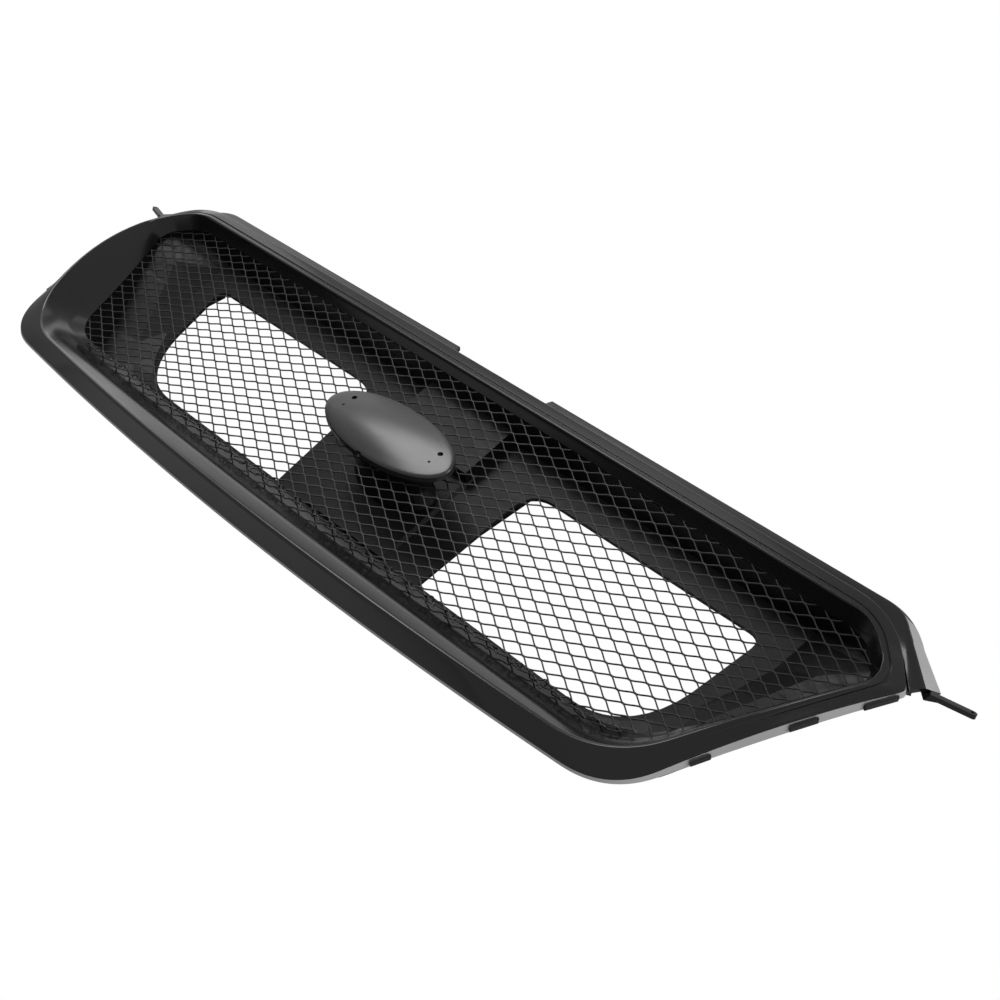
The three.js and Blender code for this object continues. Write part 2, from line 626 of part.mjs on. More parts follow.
// slim bar with a small hole near its tip, and a plate that holds it behind the flange's end wall
function ear() {
  const s = new THREE.Shape();
  s.moveTo(0, -EAR_HALF);
  s.lineTo(EAR_LENGTH - EAR_HALF, -EAR_HALF);
  s.absarc(EAR_LENGTH - EAR_HALF, 0, EAR_HALF, -Math.PI / 2, Math.PI / 2, false);
  s.lineTo(0, EAR_HALF);
  const hole = new THREE.Path();
  hole.absarc(EAR_LENGTH - EAR_HALF - 0.5, 0, 1.2, 0, 2 * Math.PI, true);
  s.holes.push(hole);
  const g = new THREE.ExtrudeGeometry(s, { depth: 2 * EAR_THICK, bevelEnabled: false, curveSegments: 10 });
  g.translate(0, 0, -EAR_THICK);
  const sections = Array.from({ length: 9 }, (_, i) => plateSection(0.74 + 0.35 * (i / 8)));
  const plate = toSolid(skin(sections, false));
  const neck = wasm.Manifold.hull([...plateSection(1.04), ...sections[8],
    ...[1.6, 6].flatMap((x) => [-1, 1].flatMap((y) => (
      [-1, 1].map((z) => [x, y * EAR_HALF, z * EAR_THICK]))))]);
  return toGeometry(toSolid(g).add(plate).add(neck));
}

function placeEar(name, side) {
  const mesh = put(name, side > 0 ? ear() : toGeometry(toSolid(ear()).mirror([1, 0, 0])), 'matt');
  mesh.applyMatrix4(earFrame(side));
}

// snap clip: a hook outside the wall, a bridge through its slot and a leg inside
function clip({ length, low, high }) {
  const s = new THREE.Shape();
  s.moveTo(0.45, high);
  s.lineTo(1.2, high);
  s.lineTo(2, high - 0.9);
  s.lineTo(2, low + 0.6);
  s.lineTo(1.5, low);
  s.lineTo(0.45, low);
  s.lineTo(0.45, low + 1.2);
  s.lineTo(-4.2, low + 1.2);
  s.lineTo(-4.2, -2.5);
  s.lineTo(-6, -2.5);
  s.lineTo(-6, high - 2);
  s.lineTo(0.45, high - 2);
  const g = new THREE.ExtrudeGeometry(s, { depth: length, bevelEnabled: false, steps: 1 });
  g.translate(0, 0, -length / 2);
  g.applyMatrix4(new THREE.Matrix4().makeBasis(
    new THREE.Vector3(1, 0, 0),
    new THREE.Vector3(0, 0, 1),
    new THREE.Vector3(0, -1, 0),
  ));
  return toGeometry(toSolid(g));
}

function placeClip(name, side, shape) {
  const right = clip(shape);
  const geometry = side > 0 ? right : toGeometry(toSolid(right).mirror([1, 0, 0]));
  const mesh = put(name, geometry, 'matt');
  mesh.applyMatrix4(clipFrame(side, shape.along));
}

// ---- assembly -----------------------------------------------------------------------------------
const root = new THREE.Group();
const material = (color, roughness, metalness) => (
  new THREE.MeshStandardMaterial({ color, roughness, metalness }));
const MATERIALS = {
  gloss: material(0x101012, 0.12, 0),
  matt: material(0x1b1b1c, 0.6, 0),
  wire: material(0x0c0c0d, 0.4, 0.3),
  satin: material(0x3a3b3d, 0.35, 0.1),
  steel: material(0x8c8c90, 0.35, 0.9),
};

function put(name, geometry, look, place = [0, 0, 0]) {
  const mesh = new THREE.Mesh(geometry, MATERIALS[look]);
  mesh.name = name;
  mesh.position.set(...place);
  root.add(mesh);
  return mesh;
}

put('surround_frame', surround(), 'gloss');
put('mesh_panel', meshPanel(), 'wire');
put('backing_panel', tray(), 'matt');
put('badge_plate', badgePlate(), 'satin');
put('badge_pedestal', pedestal(), 'matt');
for (const [name, side] of [['left', -1], ['right', 1]]) {
  put(`upper_flange_${name}`, upperFlange(side), 'gloss');
  placeEar(`ear_${name}`, side);
  CLIPS.forEach((shape, i) => placeClip(`side_clip_${name}_${i + 1}`, side, shape));
  const under = floorZ(MID_Y) + PAD_UP - TRAY_WALL - 1.3;
  put(`pedestal_screw_${name}`, screw(10), 'steel', [side * PEDESTAL_SCREW_X, MID_Y, under]);
}
POSTS.forEach(({ x, y, low }, i) => {
  const seat = low - GAP - TRAY_WALL - 0.3;
  put(`backing_screw_${i + 1}`, screw(10), 'steel', [x, y, seat]);
});

// the origin is the bottom centre of the whole grille
const group = new THREE.Group();
group.add(root);
group.updateMatrixWorld(true);
const bounds = new THREE.Box3().setFromObject(group, true);
root.position.set(0, -(bounds.min.y + bounds.max.y) / 2, -bounds.min.z);

export default group;
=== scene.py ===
"""Front grille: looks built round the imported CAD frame."""
import math

import bmesh
import bpy
import numpy as np
from mathutils import Euler, Matrix, Vector
from mathutils.bvhtree import BVHTree


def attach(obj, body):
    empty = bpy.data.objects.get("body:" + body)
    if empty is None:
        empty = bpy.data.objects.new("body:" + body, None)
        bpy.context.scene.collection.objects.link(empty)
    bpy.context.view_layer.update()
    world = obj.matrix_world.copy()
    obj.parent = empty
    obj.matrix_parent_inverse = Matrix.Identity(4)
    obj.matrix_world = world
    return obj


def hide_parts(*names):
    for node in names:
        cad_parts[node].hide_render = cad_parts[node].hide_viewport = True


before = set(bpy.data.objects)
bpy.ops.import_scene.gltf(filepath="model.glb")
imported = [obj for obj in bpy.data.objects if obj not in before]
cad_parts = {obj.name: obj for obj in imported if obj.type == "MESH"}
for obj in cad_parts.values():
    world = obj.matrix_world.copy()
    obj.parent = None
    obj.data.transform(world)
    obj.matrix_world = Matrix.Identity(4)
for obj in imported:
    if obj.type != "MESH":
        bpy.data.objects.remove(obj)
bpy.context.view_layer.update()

# Lengths are millimetres in the mesh's own frame, as in the CAD part: x = 0 on the symmetry plane,
# z = 0 at the mesh's middle, z up out of the front face. Lights, floor, bevels and relief are in
# metres.
SHIFT = np.array([0.0, -7.45, 58.0])      # from the mesh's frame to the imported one
CROWN_X, CROWN_Y = -0.0000485, 0.00055    # the mesh's curvature across and up the car
MID_Y = 17.5                              # the badge's middle


def to_m(p):
    return (np.asarray(p, float) + SHIFT) / 1000.0


def mesh_z(x, y):
    return CROWN_X * x * x + CROWN_Y * y * y


# ---- materials ----------------------------------------------------------------------------------
NOISE_LOW, NOISE_HIGH = 0.3, 0.7          # nearly all of a noise texture's values lie between these
CLOUD_SCALE, SMEAR_SCALE, SMEAR_STRETCH = 14.0, 45.0, (1, 3, 3)


def new_material(name):
    m = bpy.data.materials.new(name)
    m.use_nodes = True
    return m, m.node_tree.nodes, m.node_tree.links, m.node_tree.nodes["Principled BSDF"]


def noise(nodes, links, coords, scale, detail=3.0, rough=0.55, stretch=None):
    n = nodes.new("ShaderNodeTexNoise")
    n.inputs["Scale"].default_value = scale
    n.inputs["Detail"].default_value = detail
    n.inputs["Roughness"].default_value = rough
    if stretch:
        mapping = nodes.new("ShaderNodeMapping")
        mapping.inputs["Scale"].default_value = stretch
        links.new(coords, mapping.inputs["Vector"])
        coords = mapping.outputs["Vector"]
    links.new(coords, n.inputs["Vector"])
    return n.outputs["Fac"]


def spread(nodes, links, fac, low, high):
    """Maps a noise onto the range from low to high."""
    r = nodes.new("ShaderNodeMapRange")
    r.inputs["From Min"].default_value = NOISE_LOW
    r.inputs["From Max"].default_value = NOISE_HIGH
    r.inputs["To Min"].default_value = low
    r.inputs["To Max"].default_value = high
    links.new(fac, r.inputs["Value"])
    return r.outputs["Result"]


def tint(nodes, links, fac, dark, light):
    mix = nodes.new("ShaderNodeMix")
    mix.data_type = "RGBA"
    mix.inputs[6].default_value = (*dark, 1)
    mix.inputs[7].default_value = (*light, 1)
    links.new(fac, mix.inputs[0])
    return mix.outputs[2]


def relief(nodes, links, height, distance, under=None):
    """Bump of a distance in metres, laid over the normal of another one if there is one."""
    bump = nodes.new("ShaderNodeBump")
    bump.inputs["Strength"].default_value = 1.0
    bump.inputs["Distance"].default_value = distance
    links.new(height, bump.inputs["Height"])
    if under:
        links.new(under, bump.inputs["Normal"])
    return bump.outputs["Normal"]


def finish_material(name, dark, light, rough, grain, peel=None, metallic=0.0, spec=0.5):
    """Plastic, paint or metal: cloudy tint, uneven roughness, and one or two scales of relief.

    grain is (scale per metre, distance in metres); peel is the same for a wide waviness."""
    m, nodes, links, bsdf = new_material(name)
    coords = nodes.new("ShaderNodeTexCoord").outputs["Object"]
    cloud = spread(nodes, links, noise(nodes, links, coords, CLOUD_SCALE, 4.0), 0, 1)
    links.new(tint(nodes, links, cloud, dark, light), bsdf.inputs["Base Color"])
    smear = noise(nodes, links, coords, SMEAR_SCALE, 5.0, 0.6, SMEAR_STRETCH)
    links.new(spread(nodes, links, smear, *rough), bsdf.inputs["Roughness"])
    bsdf.inputs["Metallic"].default_value = metallic
    bsdf.inputs["Specular IOR Level"].default_value = spec
    normal = relief(nodes, links, noise(nodes, links, coords, grain[0], 3.0, 0.6), grain[1])
    if peel:
        wave = noise(nodes, links, coords, peel[0], 1.5, 0.4)
        normal = relief(nodes, links, wave, peel[1], normal)
    links.new(normal, bsdf.inputs["Normal"])
    return m


GLOSS = finish_material("gloss_black", (0.0035, 0.0035, 0.004), (0.006, 0.006, 0.0065),
                        (0.15, 0.2), (900.0, 0.0000015), peel=(60.0, 0.00002))
MATT = finish_material("matt_backing", (0.004, 0.004, 0.0043), (0.008, 0.008, 0.0083),
                       (0.36, 0.46), (1400.0, 0.00004), spec=0.3)
WIRE = finish_material("mesh_coat", (0.003, 0.003, 0.0033), (0.007, 0.007, 0.0073),
                       (0.28, 0.42), (1200.0, 0.00002))
SATIN = finish_material("badge_satin", (0.012, 0.012, 0.0125), (0.017, 0.017, 0.0175),
                        (0.2, 0.24), (1600.0, 0.000008), spec=0.65)
# light grey painted on the outer walls: a painted reflection of the pale band along them, which the
# right strip lamp also lights
SHEEN_GREY = finish_material("wall_painted_sheen", (0.30, 0.30, 0.302), (0.36, 0.36, 0.363),
                            (0.3, 0.4), (900.0, 0.00001))
TAB = finish_material("tab_black", (0.006, 0.006, 0.0065), (0.01, 0.01, 0.0105),
                      (0.3, 0.42), (1000.0, 0.00003), spec=0.4)
STEEL = finish_material("screw_zinc", (0.30, 0.30, 0.31), (0.42, 0.42, 0.43),
                        (0.25, 0.42), (1500.0, 0.00003), metallic=1.0)


# ---- mesh helpers -------------------------------------------------------------------------------
BEVEL_SEGMENTS, BEVEL_ANGLE = 3, 25


def make_object(name, points_mm, faces, material, sharp_deg):
    """An object from points in millimetres, smooth but for edges sharper than sharp_deg."""
    mesh = bpy.data.meshes.new(name)
    mesh.from_pydata([tuple(p) for p in to_m(points_mm)], [], faces)
    mesh.validate()
    mesh.update()
    mesh.materials.append(material)
    obj = bpy.data.objects.new(name, mesh)
    bpy.context.scene.collection.objects.link(obj)
    mesh.shade_smooth()
    mesh.set_sharp_from_angle(angle=math.radians(sharp_deg))
    return obj


def dress(node, material, bevel):
    """A CAD node keeps its shape and gets a finish and edges softened by `bevel` metres."""
    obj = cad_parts[node]
    obj.data.materials.clear()
    obj.data.materials.append(material)
    mod = obj.modifiers.new("edges", "BEVEL")
    mod.width = bevel
    mod.segments = BEVEL_SEGMENTS
    mod.limit_method = "ANGLE"
    mod.angle_limit = math.radians(BEVEL_ANGLE)
    mod.harden_normals = True
    mod.use_clamp_overlap = True


def second_finish(obj, material, chosen):
    """Faces whose index is in `chosen` take a second finish."""
    obj.data.materials.append(material)
    pick = np.zeros(len(obj.data.polygons), dtype=np.int32)
    pick[chosen] = 1
    obj.data.polygons.foreach_set("material_index", pick)
    obj.data.update()


def ring_faces(count, n, closed=False, turned=False):
    """Quads between neighbouring rings of n points each; turned makes them face the other way."""
    faces = []
    for r in range(count if closed else count - 1):
        s = (r + 1) % count
        for i in range(n):
            j = (i + 1) % n
            if turned:
                faces.append((r * n + i, r * n + j, s * n + j, s * n + i))
            else:
                faces.append((r * n + i, s * n + i, s * n + j, r * n + j))
    return faces


def bar_faces(count, n):
    """Faces of a bar of `count` rings of n points, with both ends capped."""
    first, last = tuple(range(n)), tuple(range((count - 1) * n, count * n))
    return ring_faces(count, n, turned=True) + [first[::-1], last]


def merged(parts):
    """One array of points and one list of faces from several (points, faces) pairs."""
    verts, faces, base = [], [], 0
    for v, f in parts:
        verts.append(v)
        faces += [tuple(q + base for q in face) for face in f]
        base += len(v)
    return np.vstack(verts), faces


# ---- outlines -----------------------------------------------------------------------------------
def lerp(p, q, t):
    return p + (q - p) * t


def half_outline(rail, count):
    """Right half of a closed outline: top centre, corners t, s and b, bottom centre."""
    tc, t, s, b, bc = (np.array(rail[k], float) for k in ("tc", "t", "s", "b", "bc"))
    r = rail["round"]
    bow = np.array(rail.get("bow", (0, 0, 0)), float)

    def top(u):
        return np.array([t[0] * u, tc[1] + (t[1] - tc[1]) * u * u, tc[2] + (t[2] - tc[2]) * u * u])

    def slant(u):
        return lerp(t, s, u)

    def side(u):
        return lerp(s, b, u) + 4 * u * (1 - u) * bow

    def low(u):
        return np.array([b[0] * (1 - u), bc[1] + (b[1] - bc[1]) * (1 - u) ** 2,
                         bc[2] + (b[2] - bc[2]) * (1 - u) ** 2])

    def gap(p, q):
        return math.hypot(*(q - p)[:2])

    cut = [1 - r[0] / t[0], r[0] / gap(t, s), 1 - r[1] / gap(t, s), r[1] / gap(s, b),
           1 - r[2] / gap(s, b), r[2] / b[0]]

    def run(edge, u0, u1, n):
        return [edge(u0 + (u1 - u0) * i / n) for i in range(n)]

    return (run(top, 0, cut[0], count[0]) + curve(top(cut[0]), t, slant(cut[1]), count[1])
            + run(slant, cut[1], cut[2], count[2])
            + curve(slant(cut[2]), s, side(cut[3]), count[3])
            + run(side, cut[3], cut[4], count[4]) + curve(side(cut[4]), b, low(cut[5]), count[5])
            + run(low, cut[5], 1, count[6]) + [low(1)])


def curve(p, v, q, n):
    """n points of the curve from p to q that v pulls, without q itself."""
    out = []
    for i in range(n):
        u = i / n
        out.append(p * (1 - u) ** 2 + 2 * v * u * (1 - u) + q * u * u)
    return out


# points on the top, its corner, the slant, its corner, the side, its corner and the bottom
FINE = (60, 28, 12, 16, 40, 36, 60)
COARSE = (6, 8, 3, 4, 24, 12, 30)


def outline(rail, count=FINE):
    half = np.array(half_outline(rail, count))
    mirror = half[1:-1][::-1] * (-1, 1, 1)
    return np.vstack([half, mirror])


def offset(ring, d):
    """The ring moved d mm outward in plan."""
    before, after = np.roll(ring, 1, 0), np.roll(ring, -1, 0)
    t = (after - before)[:, :2]
    t /= np.linalg.norm(t, axis=1)[:, None]
    out = ring.copy()
    out[:, 0] -= t[:, 1] * d
    out[:, 1] += t[:, 0] * d
    return out


def lift(ring, dz):
    return ring + (0, 0, dz)


def on_mesh(ring, dz):
    """The ring dropped onto the mesh and lifted dz above it."""
    out = ring.copy()
    out[:, 2] = mesh_z(ring[:, 0], ring[:, 1]) + dz
    return out


# ---- surround -----------------------------------------------------------------------------------
# Lines round the frame, from the inner wall's foot over the front to the outer wall's rim. Each has
# the top centre, three corners and the bottom centre, the corners' cut-back and the side's bow.
RAILS = {
    "foot": dict(tc=(0, 100, 6), t=(366, 100, 0), s=(392, 76, -3), b=(312, -66, -1), bc=(0, -71, 4),
                 round=(14, 10, 30)),
    "shoulder": dict(tc=(0, 103.7, 13), t=(367.6, 103.7, 12.2), s=(396.5, 75.6, 4.5),
                     b=(317, -76, 4), bc=(0, -86, 12), round=(15, 11, 33), bow=(1, -0.6, 1)),
    "waist": dict(tc=(0, 104.1, 14.3), t=(367.9, 104.3, 13.7), s=(398.6, 75.3, 7.4),
                  b=(321.5, -87, 13), bc=(0, -102.5, 28.6), round=(16, 12, 37), bow=(4, -2.2, 9)),
    "lip": dict(tc=(0, 104.8, 15), t=(368, 105, 14.5), s=(400, 75, 9), b=(325, -95, 18),
                bc=(0, -118.6, 35.6), round=(18, 14, 40), bow=(6.1, -3.4, 12.5)),
    "crest": dict(tc=(0, 106.6, 14.8), t=(369, 106.7, 14.3), s=(402, 75.6, 8.3), b=(327, -97, 17.4),
                  bc=(0, -120.4, 34.2), round=(19.5, 12, 40), bow=(6.1, -3.4, 11.5)),
    "ridge": dict(tc=(0, 119.8, 12.6), t=(375.8, 118.5, 12.6), s=(411.4, 79, 2.4),
                  b=(338.8, -107.6, 14.4), bc=(0, -122.3, 13.6), round=(29.5, 3.5, 34),
                  bow=(0, 0, 8)),
    "brow": dict(tc=(0, 120.5, 11.9), t=(376.3, 119.2, 11.9), s=(412, 79, 1.6),
                 b=(339.4, -108.2, 13.6), bc=(0, -122.5, 12.2), round=(30, 3, 34), bow=(0, 0, 8)),
    "rim": dict(tc=(0, 121.3, -4), t=(377.3, 120, -4), s=(413, 79, -3.6), b=(339.9, -108.8, 11),
                bc=(0, -122.7, 9.2), round=(30, 3, 34), bow=(0, 0, 4.2)),
    # inside the moulding, behind the crest
    "under": dict(tc=(0, 109, 11.3), t=(370.5, 108.6, 10.8), s=(402.3, 75.6, 4.6),
                  b=(325.5, -95.5, 14), bc=(0, -117.2, 30.4), round=(20, 12, 39),
                  bow=(5.6, -3.1, 11.3)),
}
WALL = 2.5
FOOT_UP = 1.0                              # the foot stands this far above the mesh's middle
RING_POINTS, RING_EASE = 640, 2.6
GROOVE_DEPTH, GROOVE_FADE, GROOVE_ROUND = 0.9, 60, 0.25
MOST_OF_BAND = 0.48                        # a rounding takes no more than this of a band
WIDE = 4                                   # a rounding from here on gets twice the steps

# hollow screw posts inside the moulding: place and lower end
POSTS = ([(x, 112.2, -3.6) for x in (-262, -92, 92, 262)]
         + [(x, -91.5, -1.6) for x in (-250, -110, 110, 250)])
POST_SIDES, POST_R, POST_BORE_R, POST_EDGE = 28, 4.5, 2.0, 0.5
POST_BORE_DEPTH, POST_SINK = 10, 0.6


def even(rings, count, sigma):
    """Rings resampled at even steps round the frame, then eased along their length by sigma mm."""
    guide = rings["ridge"]
    step = np.linalg.norm(np.roll(guide, -1, 0) - guide, axis=1)
    at = np.concatenate([[0], np.cumsum(step)])
    places = np.linspace(0, at[-1], count, False)
    reach = int(math.ceil(3 * sigma / (at[-1] / count)))
    k = np.arange(-reach, reach + 1) * (at[-1] / count)
    weight = np.exp(-0.5 * (k / sigma) ** 2)
    weight /= weight.sum()
    out = {}
    for name, ring in rings.items():
        closed = np.vstack([ring, ring[:1]])
        fine = np.stack([np.interp(places, at, closed[:, c]) for c in range(3)], 1)
        out[name] = sum(w * np.roll(fine, -j, 0) for w, j in zip(weight, range(-reach, reach + 1)))
    return out


def rounded_section(rings, tangents, steps=5, closed=False):
    """Rings across a section, each inner one replaced by a short curve.

    tangents holds, for each ring, the mm that the curve takes from the neighbouring bands."""
    out = [] if closed else [rings[0]]
    inner = range(len(rings)) if closed else range(1, len(rings) - 1)
    for k in inner:
        p, v, q = rings[k - 1], rings[k], rings[(k + 1) % len(rings)]
        a, b = p - v, q - v
        la = np.maximum(np.linalg.norm(a, axis=1), 1e-9)[:, None]
        lb = np.maximum(np.linalg.norm(b, axis=1), 1e-9)[:, None]
        start = v + a / la * np.minimum(tangents[k], la * MOST_OF_BAND)
        end = v + b / lb * np.minimum(tangents[k], lb * MOST_OF_BAND)
        out += curve(start, v, end, steps if tangents[k] < WIDE else steps * 2) + [end]
    if not closed:
        out.append(rings[-1])
    return out


def post(x, y, low, tree):
    """Hollow screw post from its open lower end up to the inside of the moulding."""
    profile = [(POST_BORE_R, low + POST_BORE_DEPTH), (POST_BORE_R, low + POST_EDGE),
               (POST_BORE_R + POST_EDGE, low), (POST_R - POST_EDGE, low),
               (POST_R, low + POST_EDGE), (POST_R, None)]
    verts = []
    for r, z in profile:
        for i in range(POST_SIDES):
            w = 2 * math.pi * i / POST_SIDES
            px, py, pz = x + r * math.cos(w), y + r * math.sin(w), z
            if pz is None:
                hit = tree.ray_cast(Vector((px, py, low)), Vector((0, 0, 1)))[0]
                pz = hit.z + POST_SINK
            verts.append((px, py, pz))
    bottom = tuple(range(POST_SIDES))[::-1]
    return np.array(verts), [bottom] + ring_faces(len(profile), POST_SIDES, turned=True)


def build_surround():
    rail = even({k: outline(v) for k, v in RAILS.items()}, RING_POINTS, RING_EASE)
    crest, ridge = rail["crest"], rail["ridge"]
    # a fine groove runs beside the crest and fades out where the face turns down at the bottom bar
    fade = np.clip((crest[:, 1] + GROOVE_FADE) / GROOVE_FADE, 0, 1)[:, None]
    down = GROOVE_DEPTH * fade * (0, 0, 1)
    groove = [(lerp(crest, ridge, t) - sunk * down, GROOVE_ROUND)
              for t, sunk in ((0.13, 0), (0.17, 1), (0.24, 1), (0.28, 0))]
    section = [(on_mesh(rail["foot"], FOOT_UP), 0), (rail["shoulder"], 3.0), (rail["waist"], 5.0),
               (rail["lip"], 2.2), (crest, 1.8), *groove,
               (ridge, 0.9), (rail["brow"], 0.5), (rail["rim"], 0)]
    front = rounded_section(*zip(*section))
    back = [
        offset(rail["rim"], -WALL),
        lift(offset(rail["brow"], -WALL), -1.5),
        lift(offset(rail["ridge"], -WALL * 1.2), -WALL),
        rail["under"],
        lift(offset(rail["waist"], WALL * 0.75), -WALL * 0.75),
        lift(offset(rail["shoulder"], WALL), -1),
        on_mesh(offset(rail["foot"], WALL), FOOT_UP),
    ]
    verts = np.vstack(front + back)
    faces = ring_faces(len(front) + len(back), RING_POINTS, closed=True)
    tree = BVHTree.FromPolygons([tuple(v) for v in verts], faces)
    posts = [post(*place, tree) for place in POSTS]
    obj = make_object("surround_skin", *merged([(verts, faces)] + posts), GLOSS, 60)
    # the outer wall and its edge are painted light grey: a painted reflection of the pale band
    # along them
    second_finish(obj, SHEEN_GREY, np.arange((len(front) - 2) * RING_POINTS,
                                            len(front) * RING_POINTS))
    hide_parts("surround_frame")
    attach(obj, "root")


# ---- upper flanges ------------------------------------------------------------------------------
FLANGE_UNDER = -6.6
SHEEN_X, SHEEN_Z, SHEEN_SLOPE, SHEEN_REACH = 372, -1.2, 1.2, 587   # bounds of the end painted light grey as a painted reflection


def flange_path(points, n=(24, 28, 24)):
    """A straight, a rounded corner and a slant through start, p1, corner, p2 and end."""
    p0, p1, c, p2, p3 = (np.array(p, float) for p in points)
    out = [lerp(p0, p1, i / n[0]) for i in range(n[0])] + curve(p1, c, p2, n[1])
    out += [lerp(p2, p3, i / n[2]) for i in range(n[2] + 1)]
    return np.array(out)


def build_flange(side, name):
    inner = flange_path([(48, 121.9, -0.4), (347, 120.8, -0.4), (378.1, 120.5, -0.4),
                         (397.6, 98, -0.5), (411.6, 82.2, -0.6)])
    tongue = flange_path([(48, 118.1, -4.5), (345, 117, -4.5), (375.6, 116.8, -4.5),
                          (394.8, 95.6, -4.5), (407.6, 81.2, -4.6)])
    edge = flange_path([(53, 136.8, -0.4), (358, 136.3, -0.4), (371, 136.3, -0.4),
                        (381, 126, -0.4), (418, 90, -0.6)])
    skirt = flange_path([(53, 137.6, -1.6), (360, 137.2, -1.6), (381, 137.5, -2.4),
                         (396.8, 124, -10.8), (423, 102.8, -12.6)])
    low_inner, low_tongue, step = inner + (1.4, 1.4, 0), tongue.copy(), inner.copy()
    low_inner[:, 2] = FLANGE_UNDER
    low_tongue[:, 2] = FLANGE_UNDER
    step[:, 2] = tongue[:, 2]
    section = [(inner, 0.5), (edge, 2.0), (skirt, 0.6), (skirt - (1.2, 1.2, 1.7), 0.4),
               (edge - (1.6, 1.6, 3.2), 0.6), (inner + (1.4, 1.4, -3.2), 0.3),
               (low_inner, 0.4), (low_tongue, 0.4), (tongue, 0.4), (step, 0.2)]
    rings = rounded_section(*zip(*section), steps=4, closed=True)
    verts = np.stack(rings, 1).reshape(-1, 3) * (side, 1, 1)
    faces = bar_faces(len(inner), len(rings))
    if side > 0:
        faces = [face[::-1] for face in faces]
    obj = make_object(f"flange_{name}", verts, faces, GLOSS, 40)
    x, y, z = (np.array([p.center for p in obj.data.polygons]) * 1000 - SHIFT).T
    # the outer end of the skirt is painted light grey: a painted reflection
    sheen = (np.abs(x) > SHEEN_X) & (z < SHEEN_Z) & (y + SHEEN_SLOPE * np.abs(x) > SHEEN_REACH)
    second_finish(obj, SHEEN_GREY, np.flatnonzero(sheen))
    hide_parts(f"upper_flange_{name}")
    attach(obj, "root")


# ---- expanded mesh ------------------------------------------------------------------------------
PITCH_X, PITCH_Y = 10.0, 5.62             # half a diamond across, and one row up
START_X, START_Y = 2.5, 1.0               # a corner of the lattice
ROWS, COLUMNS = range(-16, 19), range(-41, 41)
STRAND_STEPS, STRAND_FLAT, STRAND_EASE = 10, 0.1, 0.28
STRAND_TOUCH = 0.42                       # the peaks are drawn in so far to touch, not cross
STRAND_RISE = 0.28                        # up and down of the strand at its peaks
STRAND_HALF_W, STRAND_HALF_T, STRAND_TILT, STRAND_CORNER = 0.5, 0.42, 0.35, 0.32
EDGE_REACH = 0.9                          # how far strands run past the foot where they stay flat
MARGIN_IN, MARGIN_OUT, MARGIN_HALF_T = 0.5, 3.7, 0.6
HOLE_A, HOLE_B, HOLE_SIDES = 36.0, 17.0, 40    # hole for the badge's pedestal
SEED = 7

# The panel's lower edge is bent up inside the bottom bar. The bend starts BEND_FROM mm inside the
# foot and fades out up the sides and at the left corner.
BEND_FROM, BEND_R, BEND_ANGLE, BEND_REACH, BEND_SLACK = 4.0, 6.0, 0.68, 11.0, 0.05
BEND_TOP, BEND_TOP_FADE, BEND_LEFT, BEND_LEFT_FADE = -52, 12, -296, 20
LOWER_HALF, WELL_INSIDE = 20, -99.0


def inside(poly, pts):
    """Which points lie inside a closed outline, in plan."""
    x, y = pts[:, 0], pts[:, 1]
    hit = np.zeros(len(pts), bool)
    j = len(poly) - 1
    for i in range(len(poly)):
        xi, yi = poly[i][:2]
        xj, yj = poly[j][:2]
        crosses = (yi > y) != (yj > y)
        if crosses.any():
            xc = (xj - xi) * (y - yi) / (yj - yi) + xi
            hit ^= crosses & (x < xc)
        j = i
    return hit


def beyond(ring, pts):
    """For each point: mm outside the ring's lower part, negative inside it, and the way out."""
    keep = ring[:, 1] < LOWER_HALF
    low, out = ring[keep][:, :2], (offset(ring, 1.0) - ring)[keep][:, :2]
    gap = np.linalg.norm(pts[:, None, :2] - low[None], axis=2)
    near = gap.argmin(1)
    past = np.where(inside(ring, pts), -1.0, 1.0) * gap[np.arange(len(pts)), near]
    return np.where(pts[:, 1] < LOWER_HALF, past, WELL_INSIDE), out[near]


def bent(points):
    """1 along the lower edge, where the panel is bent up, fading to 0 where it stays flat."""
    return (np.clip((BEND_TOP - points[:, 1]) / BEND_TOP_FADE, 0, 1)
            * np.clip((points[:, 0] - BEND_LEFT) / BEND_LEFT_FADE, 0, 1))


def turn_up(run, ring, slack):
    """Turns the part of a strand near the ring's lower side upward, as the panel's edge is bent."""
    past, out = beyond(ring, run)
    along = np.clip(past + BEND_FROM, 0, None)
    turn = (BEND_ANGLE + slack) * bent(run)
    angle = np.minimum(along / BEND_R, turn)
    rest = np.clip(along - BEND_R * turn, 0, None)
    across = BEND_R * np.sin(angle) + rest * np.cos(turn)
    run[:, :2] += out * (across - along)[:, None]
    run[:, 2] += BEND_R * (1 - np.cos(angle)) + rest * np.sin(turn)


def strand_path(row):
    """One zigzag strand along the mesh: it touches its neighbours at flattened peaks."""
    low = START_Y + PITCH_Y * row + STRAND_TOUCH
    high = START_Y + PITCH_Y * (row + 1) - STRAND_TOUCH
    pts = []
    for u in COLUMNS:
        up = (u + row) % 2 == 0
        y0, y1, rise = (high, low, STRAND_RISE) if up else (low, high, -STRAND_RISE)
        for i in range(STRAND_STEPS):
            t = i / STRAND_STEPS
            s = min(max((t - STRAND_FLAT) / (1 - 2 * STRAND_FLAT), 0.0), 1.0)
            s = s * (1 - STRAND_EASE) + STRAND_EASE * s * s * (3 - 2 * s)
            pts.append((START_X + PITCH_X * (u + t), y0 + (y1 - y0) * s, rise * (1 - 2 * s)))
    return np.array(pts)


